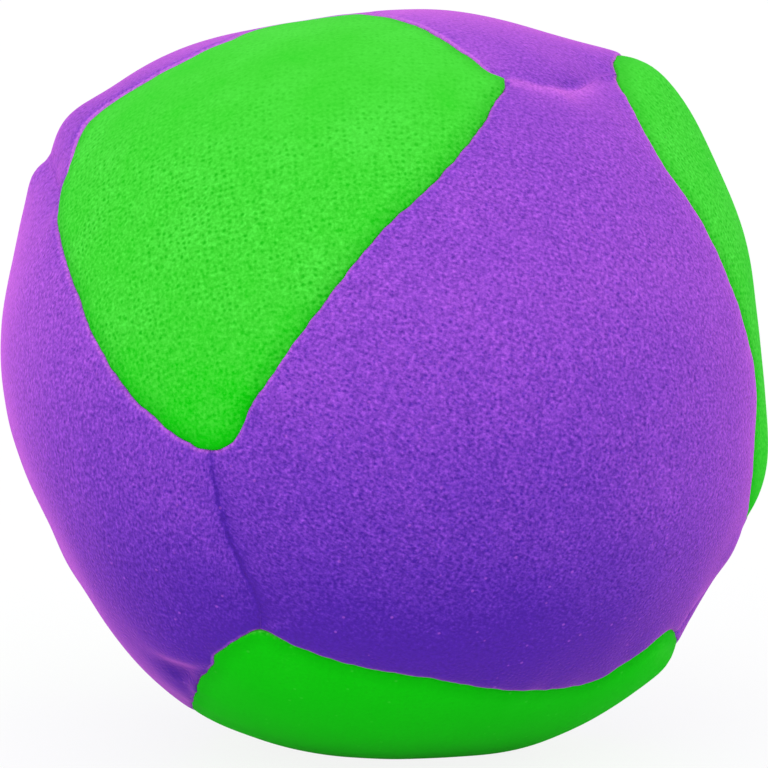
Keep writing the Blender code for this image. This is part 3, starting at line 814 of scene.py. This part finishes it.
class Graph:
    """Short ways to add shader nodes and links."""

    def __init__(self, tree):
        self.tree = tree

    def node(self, kind, inputs=None, **settings):
        node = self.tree.nodes.new(kind)
        for key, value in settings.items():
            setattr(node, key, value)
        for key, value in (inputs or {}).items():
            if isinstance(value, bpy.types.NodeSocket):
                self.tree.links.new(value, node.inputs[key])
            else:
                node.inputs[key].default_value = value
        return node

    def math(self, operation, first, second=0.0, third=0.0):
        node = self.node("ShaderNodeMath", {0: first, 1: second, 2: third}, operation=operation)
        return node.outputs[0]

    def product(self, first, *others):
        for other in others:
            first = self.math("MULTIPLY", first, other)
        return first

    def attribute(self, name):
        return self.node("ShaderNodeAttribute", attribute_name=name).outputs["Fac"]

    def mapped(self, value, low, high, to_low=0.0, to_high=1.0):
        """A value taken smoothly from one range to another, and held at the ends of it."""
        inputs = {
            "Value": value, "From Min": low, "From Max": high, "To Min": to_low, "To Max": to_high,
        }
        node = self.node("ShaderNodeMapRange", inputs, interpolation_type="SMOOTHSTEP")
        return node.outputs["Result"]

    def scaled(self, vector, scale):
        """A vector times three factors, or times one value."""
        node = self.node("ShaderNodeVectorMath", {0: vector, 1: scale}, operation="MULTIPLY")
        return node.outputs[0]

    def noise(self, vector, scale, detail, roughness, output="Fac"):
        inputs = {"Vector": vector, "Scale": scale, "Detail": detail, "Roughness": roughness}
        return self.node("ShaderNodeTexNoise", inputs).outputs[output]

    def swing(self, value):
        """A noise about nought instead of about its middle."""
        return self.math("SUBTRACT", value, NOISE_MIDDLE)

    def bump(self, finish, height):
        """The normals of a finish's fine relief."""
        inputs = {"Strength": finish["bump"], "Distance": finish["relief"], "Height": height}
        return self.node("ShaderNodeBump", inputs).outputs[0]

    def surface(self, inputs):
        """Ends a material in one principled shader."""
        shader = self.node("ShaderNodeBsdfPrincipled", inputs)
        self.node("ShaderNodeOutputMaterial", {"Surface": shader.outputs[0]})

    def mix(self, share, first, second):
        inputs = {MIX_SHARE: share, MIX_FIRST: first, MIX_SECOND: second}
        return self.node("ShaderNodeMix", inputs, data_type="RGBA").outputs[MIX_RESULT]

    def ramp(self, tone, colours):
        """The colour at a tone between colours spread evenly from nought to one."""
        node = self.node("ShaderNodeValToRGB", {0: tone})
        stops = node.color_ramp.elements
        stops.remove(stops[1])
        for i, colour in enumerate(colours):
            stop = stops.new(i / (len(colours) - 1)) if i else stops[0]
            stop.color = (*colour, 1.0)
        return node.outputs[0]


def knit_stitches(graph, finish, place, knit, patches):
    """How clearly a stitch of the knit shows through the nap, from nought to one."""
    bend = graph.noise(place, BEND_PER_MM, *BEND_NOISE, output="Color")
    bend = graph.scaled(bend, (KNIT_BEND,) * 3)
    rows = graph.node("ShaderNodeVectorMath", {0: bend, 1: knit}, operation="ADD").outputs[0]
    cells = graph.node("ShaderNodeTexVoronoi", {
        "Vector": graph.scaled(rows, finish["stitches_per_mm"]),
        "Scale": 1.0,
        "Randomness": finish["jitter"],
    }, voronoi_dimensions="2D")
    picked = graph.node("ShaderNodeSeparateColor", {0: cells.outputs["Color"]}).outputs[0]
    return graph.product(
        graph.mapped(cells.outputs["Distance"], *finish["stitch_size"], 1.0, 0.0),
        graph.mapped(picked, *finish["stitch_pick"]),
        graph.mapped(patches, *FAINT_PATCHES, finish["faint_share"], 1.0),
    )


def light_and_nap_tone(graph, finish, slope, patches, textures):
    """The tone, from nought, deep, to one, light. It paints light and shade by the slope of the face and
    along the seams, adds the painted highlight line and the painted light and shade of the vertices,
    and carries the nap's own grain, fibres, patches and stitches.
    """
    # painted light and shade by the slope: lighter on faces turned up, to the slope's end, and darker on
    # faces turned down
    tone = graph.math("MINIMUM", slope, finish["slope_end"])
    tone = graph.math("MULTIPLY_ADD", tone, finish["slope_light_tone"], finish["middle_tone"])
    tone = graph.math("ADD", tone, graph.mapped(slope, *LOW_SHADE_SLOPES, finish["low_shade_tone"], 0.0))
    for texture, strength in textures:
        tone = graph.math("MULTIPLY_ADD", texture, strength, tone)
    away = graph.attribute(SEAM_VALUE)
    # the painted highlight line along the seams with a green panel, fainter in patches
    edge = graph.product(
        graph.mapped(away, *EDGE_HIGHLIGHT_BAND, finish["edge_highlight_tone"], 0.0),
        graph.attribute(EDGE_HIGHLIGHT_VALUE),
        graph.mapped(patches, *FAINT_HIGHLIGHT_PATCHES, FAINT_HIGHLIGHT_SHARE, 1.0),
    )
    # painted shade along every seam, the painted light and shade of the vertices and the painted
    # highlight line
    for change in (
        graph.mapped(away, 0.0, SEAM_SHADE_REACH, finish["seam_shade_tone"], 0.0),
        graph.attribute(PAINTED_LIGHT_VALUE),
        edge,
    ):
        tone = graph.math("ADD", tone, change)
    return tone


def nap_colour(graph, finish, place, tone, stitch):
    """The colour at a tone, with the stitches and a few light flecks of lint."""
    colour = graph.ramp(tone, finish["colours"])
    colour = graph.mix(graph.product(stitch, finish["stitch_share"]), colour, finish["stitch_colour"])
    lint = graph.node("ShaderNodeTexVoronoi", {"Vector": place, "Scale": LINT_PER_MM, "Randomness": 1.0})
    fleck = graph.mapped(lint.outputs["Distance"], *LINT_SIZE, finish["lint_share"], 0.0)
    return graph.mix(fleck, colour, finish["lint_colour"])


def shade_and_nap_brightness(graph, finish, grain, fibre):
    """How bright the colour is: uneven with the grain and fibres of the nap, partly their own colour and
    partly painted light and shade of their fine relief, and duller with painted shade at the seams and
    in the hollows.
    """
    bright = graph.math("MULTIPLY_ADD", grain, finish["grain_value"], 1.0)
    bright = graph.math("MULTIPLY_ADD", fibre, finish["fibre_value"], bright)
    # the painted shade of the vertices dulls the colour as well
    darker = graph.math("MINIMUM", graph.attribute(PAINTED_LIGHT_VALUE), 0.0)
    return graph.product(
        bright,
        graph.mapped(graph.attribute(SEAM_VALUE), 0.0, SEAM_SHADE_REACH, finish["seam_shade_value"], 1.0),
        graph.math("MULTIPLY_ADD", darker, PAINTED_SHADE_DULLING, 1.0),
    )


def suede_material(name, finish):
    """Brushed suede over a knit. One tone sets the colour. It paints light and shade: lighter on faces
    turned up and darker on faces turned down, along the seams, in broad patches and across the fold.
    The nap's own broad patches, fine grain, fibres and knit change it too."""
    material = bpy.data.materials.new(name)
    graph = Graph(new_nodes(material))
    coords = graph.node("ShaderNodeTexCoord")
    place = graph.scaled(coords.outputs["Object"], (1 / MM,) * 3)
    knit = graph.node("ShaderNodeUVMap", uv_map=KNIT_MAP).outputs[0]
    # the slope of the face, by which the tone paints light on faces turned up and shade on faces turned
    # down
    slope = graph.node("ShaderNodeSeparateXYZ", {0: coords.outputs["Normal"]}).outputs[2]

    clear = graph.product(
        graph.mapped(slope, *finish["clear_above"]), graph.mapped(slope, *finish["clear_below"]),
    )
    patches = graph.noise(place, PATCH_PER_MM, *PATCH_NOISE)
    grain = graph.noise(place, finish["grain_per_mm"], *GRAIN_NOISE)
    grain = graph.product(graph.swing(grain), clear)
    fibre = graph.noise(graph.scaled(knit, finish["fibre_per_mm"]), 1.0, *FIBRE_NOISE)
    fibre = graph.product(graph.swing(fibre), clear)
    stitch = graph.product(knit_stitches(graph, finish, place, knit, patches), clear)

    tone = light_and_nap_tone(graph, finish, slope, patches, (
        (grain, finish["grain_tone"]),
        (fibre, finish["fibre_tone"]),
        (graph.swing(patches), finish["patch_tone"]),
        (stitch, finish["stitch_tone"]),
    ))
    colour = nap_colour(graph, finish, place, tone, stitch)
    height = graph.math("ADD", graph.math("MULTIPLY_ADD", stitch, STITCH_RELIEF, grain), fibre)
    graph.surface({
        "Base Color": graph.scaled(colour, shade_and_nap_brightness(graph, finish, grain, fibre)),
        "Roughness": graph.mapped(grain, *NAP_ROUGHNESS),
        "Specular IOR Level": NAP_SPECULAR,
        "Sheen Weight": finish["sheen"],
        "Sheen Roughness": finish["sheen_roughness"],
        "Sheen Tint": finish["sheen_tint"],
        "Normal": graph.bump(finish, height),
    })
    return material


def thread_material(name, finish):
    """Two-ply polyester thread: a fine twist round each stitch."""
    material = bpy.data.materials.new(name)
    graph = Graph(new_nodes(material))
    coords = graph.node("ShaderNodeTexCoord").outputs["Object"]
    twist = graph.node("ShaderNodeTexWave", {
        "Vector": coords, "Scale": finish["twists_per_m"], "Distortion": finish["distortion"],
    }, bands_direction="DIAGONAL").outputs["Fac"]
    graph.surface({
        "Base Color": graph.mix(twist, finish["dark"], finish["light"]),
        "Roughness": finish["roughness"],
        "Sheen Weight": finish["sheen"],
        "Normal": graph.bump(finish, twist),
    })
    return material


def pellet_material(name, finish):
    """Cloudy plastic, as of recycled pellets."""
    material = bpy.data.materials.new(name)
    graph = Graph(new_nodes(material))
    coords = graph.node("ShaderNodeTexCoord").outputs["Object"]
    cloud = graph.noise(coords, finish["clouds_per_m"], *finish["cloud_noise"])
    graph.surface({
        "Base Color": graph.mix(cloud, finish["dark"], finish["light"]),
        "Roughness": graph.mapped(cloud, *finish["cloud_range"], *finish["roughness_range"]),
        "Subsurface Weight": finish["glow_through"],
        "Subsurface Scale": finish["glow_depth"],
        "Normal": graph.bump(finish, cloud),
    })
    return material


def bead_directions():
    """Directions spread evenly over the ball, one for each pellet of its outer layer."""
    area = 4 * np.pi * (BALL_RADIUS - FILLING_DEPTH) ** 2
    count = round(area / (PELLET_SPACING**2 * np.sin(np.pi / 3)))
    steps = np.arange(count) + 0.5
    height = 1 - 2 * steps / count
    turn = np.pi * (1 + np.sqrt(5)) * steps
    ring = np.sqrt(1 - height**2)
    return np.stack([ring * np.cos(turn), ring * np.sin(turn), height], axis=1)


def build_filling(name, collection, material):
    """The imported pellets: a ball of touching beads, drawn in below the seams."""
    mesh = bmesh.new()
    bmesh.ops.create_icosphere(mesh, subdivisions=PACK_SUBDIVISIONS, radius=1)
    aims = unit(np.array([vert.co[:] for vert in mesh.verts]))
    beads = search_tree(bead_directions())
    seams = search_tree(np.concatenate([SEAM_LINES[seam][0] for seam in SEAMS]))
    bead_off = np.array([beads.find(aim)[2] for aim in aims]) * BALL_RADIUS
    seam_off = np.array([seams.find(aim)[2] for aim in aims]) * BALL_RADIUS
    sunk = PELLET_RADIUS - np.sqrt(np.maximum(PELLET_RADIUS**2 - bead_off**2, 0))
    channel = (FOLD_RADIUS + ALLOWANCE) * plateau(seam_off, SEAM_CHANNEL)
    places = placed(aims, -(FILLING_DEPTH + sunk + channel), FILLING_DEPTH)
    for vert, place in zip(mesh.verts, places):
        vert.co = place
    for face in mesh.faces:
        face.smooth = True
    return new_piece(mesh, name, collection, material)


def seen_share(graph):
    """One where the camera, a mirror or a pane sees a surface, and else none."""
    path = graph.node("ShaderNodeLightPath")
    seen = graph.math("MAXIMUM", path.outputs["Is Camera Ray"], path.outputs["Is Glossy Ray"])
    return graph.math("MAXIMUM", seen, path.outputs["Is Transmission Ray"])


def seen_white(graph, colour, bounced):
    """A surface's own diffuse shading, washed towards plain white where it is seen, and of a duller
    shade for the light that it throws back on the object."""
    seen = seen_share(graph)
    tone = graph.mix(seen, bounced, colour)
    diffuse = graph.node("ShaderNodeBsdfDiffuse", {"Color": tone})
    glow = graph.node("ShaderNodeEmission", {"Color": colour})
    shaders = {0: graph.product(seen, FLOOR_WASH), 1: diffuse.outputs[0], 2: glow.outputs[0]}
    return graph.node("ShaderNodeMixShader", shaders)


def build_stage(collection):
    """A pale floor that looks white to the camera, and a plain sky."""
    material = bpy.data.materials.new("pale_floor")
    graph = Graph(new_nodes(material))
    shader = seen_white(graph, FLOOR_WHITE, FLOOR_BOUNCE)
    graph.node("ShaderNodeOutputMaterial", {"Surface": shader.outputs[0]})
    mesh = bmesh.new()
    bmesh.ops.create_grid(mesh, x_segments=1, y_segments=1, size=FLOOR_SIZE / 2)
    floor = new_piece(mesh, "floor", collection, material)
    floor.location.z = -FLOOR_DROP

    world = bpy.data.worlds.new("studio")
    bpy.context.scene.world = world
    graph = Graph(new_nodes(world))
    tone = graph.mix(seen_share(graph), SKY_LIGHT, FLOOR_WHITE)
    sky = graph.node("ShaderNodeBackground", {"Color": tone})
    graph.node("ShaderNodeOutputWorld", {"Surface": sky.outputs[0]})


def looking_back(way):
    """The turn of a lamp or a camera that stands on a way from the ball and looks back along it."""
    return Vector(way).to_track_quat("Z", "Y").to_euler()


def add_sun(collection):
    """A very soft lamp, high on the left in front."""
    data = bpy.data.lights.new("soft_key", "SUN")
    data.energy = KEY_STRENGTH
    data.angle = np.radians(KEY_SPREAD)
    lamp = bpy.data.objects.new("soft_key", data)
    lamp.rotation_euler = looking_back(direction(*KEY_FROM))
    collection.objects.link(lamp)


def add_camera(collection):
    """The photo's view, with the ball's middle where the photo has it."""
    data = bpy.data.cameras.new("camera")
    data.lens = LENS_MM
    data.sensor_width = SENSOR_MM
    data.shift_x = (PHOTO_WIDTH / 2 - BALL_MIDDLE_PIXEL[0]) / PHOTO_WIDTH
    data.shift_y = (BALL_MIDDLE_PIXEL[1] - PHOTO_WIDTH / 2) / PHOTO_WIDTH
    camera = bpy.data.objects.new("camera", data)
    way = direction(*CAMERA_FROM)
    camera.location = ball_middle() + way * CAMERA_DISTANCE
    camera.rotation_euler = looking_back(way)
    collection.objects.link(camera)
    bpy.context.scene.camera = camera


# The finishes of suede. The colours run from the deepest tone to the lightest, and so serve as shaded
# and lit copies of one colour. An entry that ends in tone is the change of tone that its cause makes,
# and one that ends in value a change of brightness. Tone rises with the slope of the face up to
# slope_end, and a lower tone on faces turned down adds to it: painted light on faces turned up and
# painted shade on faces turned down. The tone and value at the seams are painted shade there, and the
# edge tone is a painted highlight line. Texture is clear above the slopes of clear_above and below those
# of clear_below, each with the share of the texture at either slope.
GREEN_FINISH = {
    "colours": (
        (0.001, 0.61, 0.001),
        (0.004, 0.64, 0.003),
        (0.056, 0.675, 0.035),
        (0.090, 0.79, 0.066),
        (0.125, 0.85, 0.092),
    ),
    "middle_tone": 0.42,
    "slope_light_tone": 0.36,
    "slope_end": 0.30,
    "low_shade_tone": 0.0,
    "grain_per_mm": 4.8,
    "bump": 0.28,
    "relief": 0.10 * MM,
    "clear_above": (-0.45, 0.1, 0.2, 1.0),
    "clear_below": (0.5, 0.88, 1.0, 0.3),
    "grain_tone": 0.55,
    "grain_value": 0.50,
    "fibre_per_mm": (2.4, 3.0, 1.0),
    "fibre_tone": 0.30,
    "fibre_value": 0.20,
    "patch_tone": 0.42,
    "stitches_per_mm": (2.15, 2.15, 1.0),
    "jitter": 0.45,
    "stitch_size": (0.05, 0.42),
    "stitch_pick": (0.0, 0.8),
    "faint_share": 0.25,
    "stitch_tone": -0.16,
    "stitch_share": 0.75,
    "stitch_colour": (0.014, 0.47, 0.010, 1.0),
    "seam_shade_tone": -0.06,
    "seam_shade_value": 0.86,
    "edge_highlight_tone": 0.0,
    "lint_share": 0.25,
    "lint_colour": (0.090, 0.79, 0.066, 1.0),
    "sheen": 0.16,
    "sheen_roughness": 0.45,
    "sheen_tint": (0.22, 1.0, 0.18, 1.0),
}
PURPLE_FINISH = {
    "colours": (
        (0.080, 0.019, 0.41),
        (0.150, 0.038, 0.490),
        (0.270, 0.066, 0.592),
        (0.400, 0.097, 0.675),
        (0.56, 0.140, 0.76),
    ),
    "middle_tone": 0.365,
    "slope_light_tone": 0.50,
    "slope_end": 0.34,
    "low_shade_tone": -0.20,
    "grain_per_mm": 4.4,
    "bump": 0.36,
    "relief": 0.10 * MM,
    "clear_above": (-0.75, -0.25, 0.55, 1.0),
    "clear_below": (0.6, 0.95, 1.0, 0.7),
    "grain_tone": 0.66,
    "grain_value": 0.95,
    "fibre_per_mm": (3.0, 5.5, 1.0),
    "fibre_tone": 0.40,
    "fibre_value": 0.35,
    "patch_tone": 0.18,
    "stitches_per_mm": (2.3, 3.4, 1.0),
    "jitter": 0.9,
    "stitch_size": (0.05, 0.45),
    "stitch_pick": (0.3, 0.9),
    "faint_share": 0.35,
    "stitch_tone": -0.22,
    "stitch_share": 0.0,
    "stitch_colour": (0.10, 0.025, 0.45, 1.0),
    "seam_shade_tone": -0.03,
    "seam_shade_value": 1.0,
    "edge_highlight_tone": 0.60,
    "lint_share": 0.6,
    "lint_colour": (0.400, 0.097, 0.675, 1.0),
    "sheen": 1.0,
    "sheen_roughness": 0.36,
    "sheen_tint": (1.0, 0.24, 1.0, 1.0),
}
THREAD_FINISH = {
    "dark": (0.12, 0.03, 0.30, 1.0),
    "light": (0.34, 0.13, 0.64, 1.0),
    "twists_per_m": 1600.0,
    "distortion": 1.5,
    "bump": 0.6,
    "relief": 0.08 * MM,
    "roughness": 0.5,
    "sheen": 0.3,
}
PELLET_FINISH = {
    "dark": (0.62, 0.60, 0.52, 1.0),
    "light": (0.82, 0.80, 0.74, 1.0),
    "clouds_per_m": 900.0,
    "cloud_noise": (3.0, 0.5),
    "cloud_range": (0.3, 0.7),
    "roughness_range": (0.35, 0.55),
    "bump": 0.3,
    "relief": 0.05 * MM,
    "glow_through": 0.15,
    "glow_depth": 1.0 * MM,
}


def main():
    pieces = bpy.data.collections.new("footbag")
    stage = bpy.data.collections.new("studio")
    for collection in (pieces, stage):
        bpy.context.scene.collection.children.link(collection)
    bpy.context.scene.view_settings.view_transform = "Standard"

    green = suede_material("green_suede_finish", GREEN_FINISH)
    purple = suede_material("purple_suede_finish", PURPLE_FINISH)
    for panels, material, slot in (
        (GREEN_PANELS, green, "green_suede"),
        (PURPLE_PANELS, purple, "purple_suede"),
    ):
        for name, (corners, rows) in panels.items():
            piece = build_panel(name, corners, rows, material, pieces)
            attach(piece, "root")
            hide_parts(name)

    pellets = pellet_material("plastic_pellets_finish", PELLET_FINISH)
    filling = build_filling("pellet_pack", pieces, pellets)
    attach(filling, "root")
    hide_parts("pellet_filling")

    thread = thread_material("sewing_thread_finish", THREAD_FINISH)
    for name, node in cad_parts.items():
        if "thread" in name:
            node.data.materials.clear()
            node.data.materials.append(thread)

    build_stage(stage)
    add_sun(stage)
    add_camera(stage)


main()
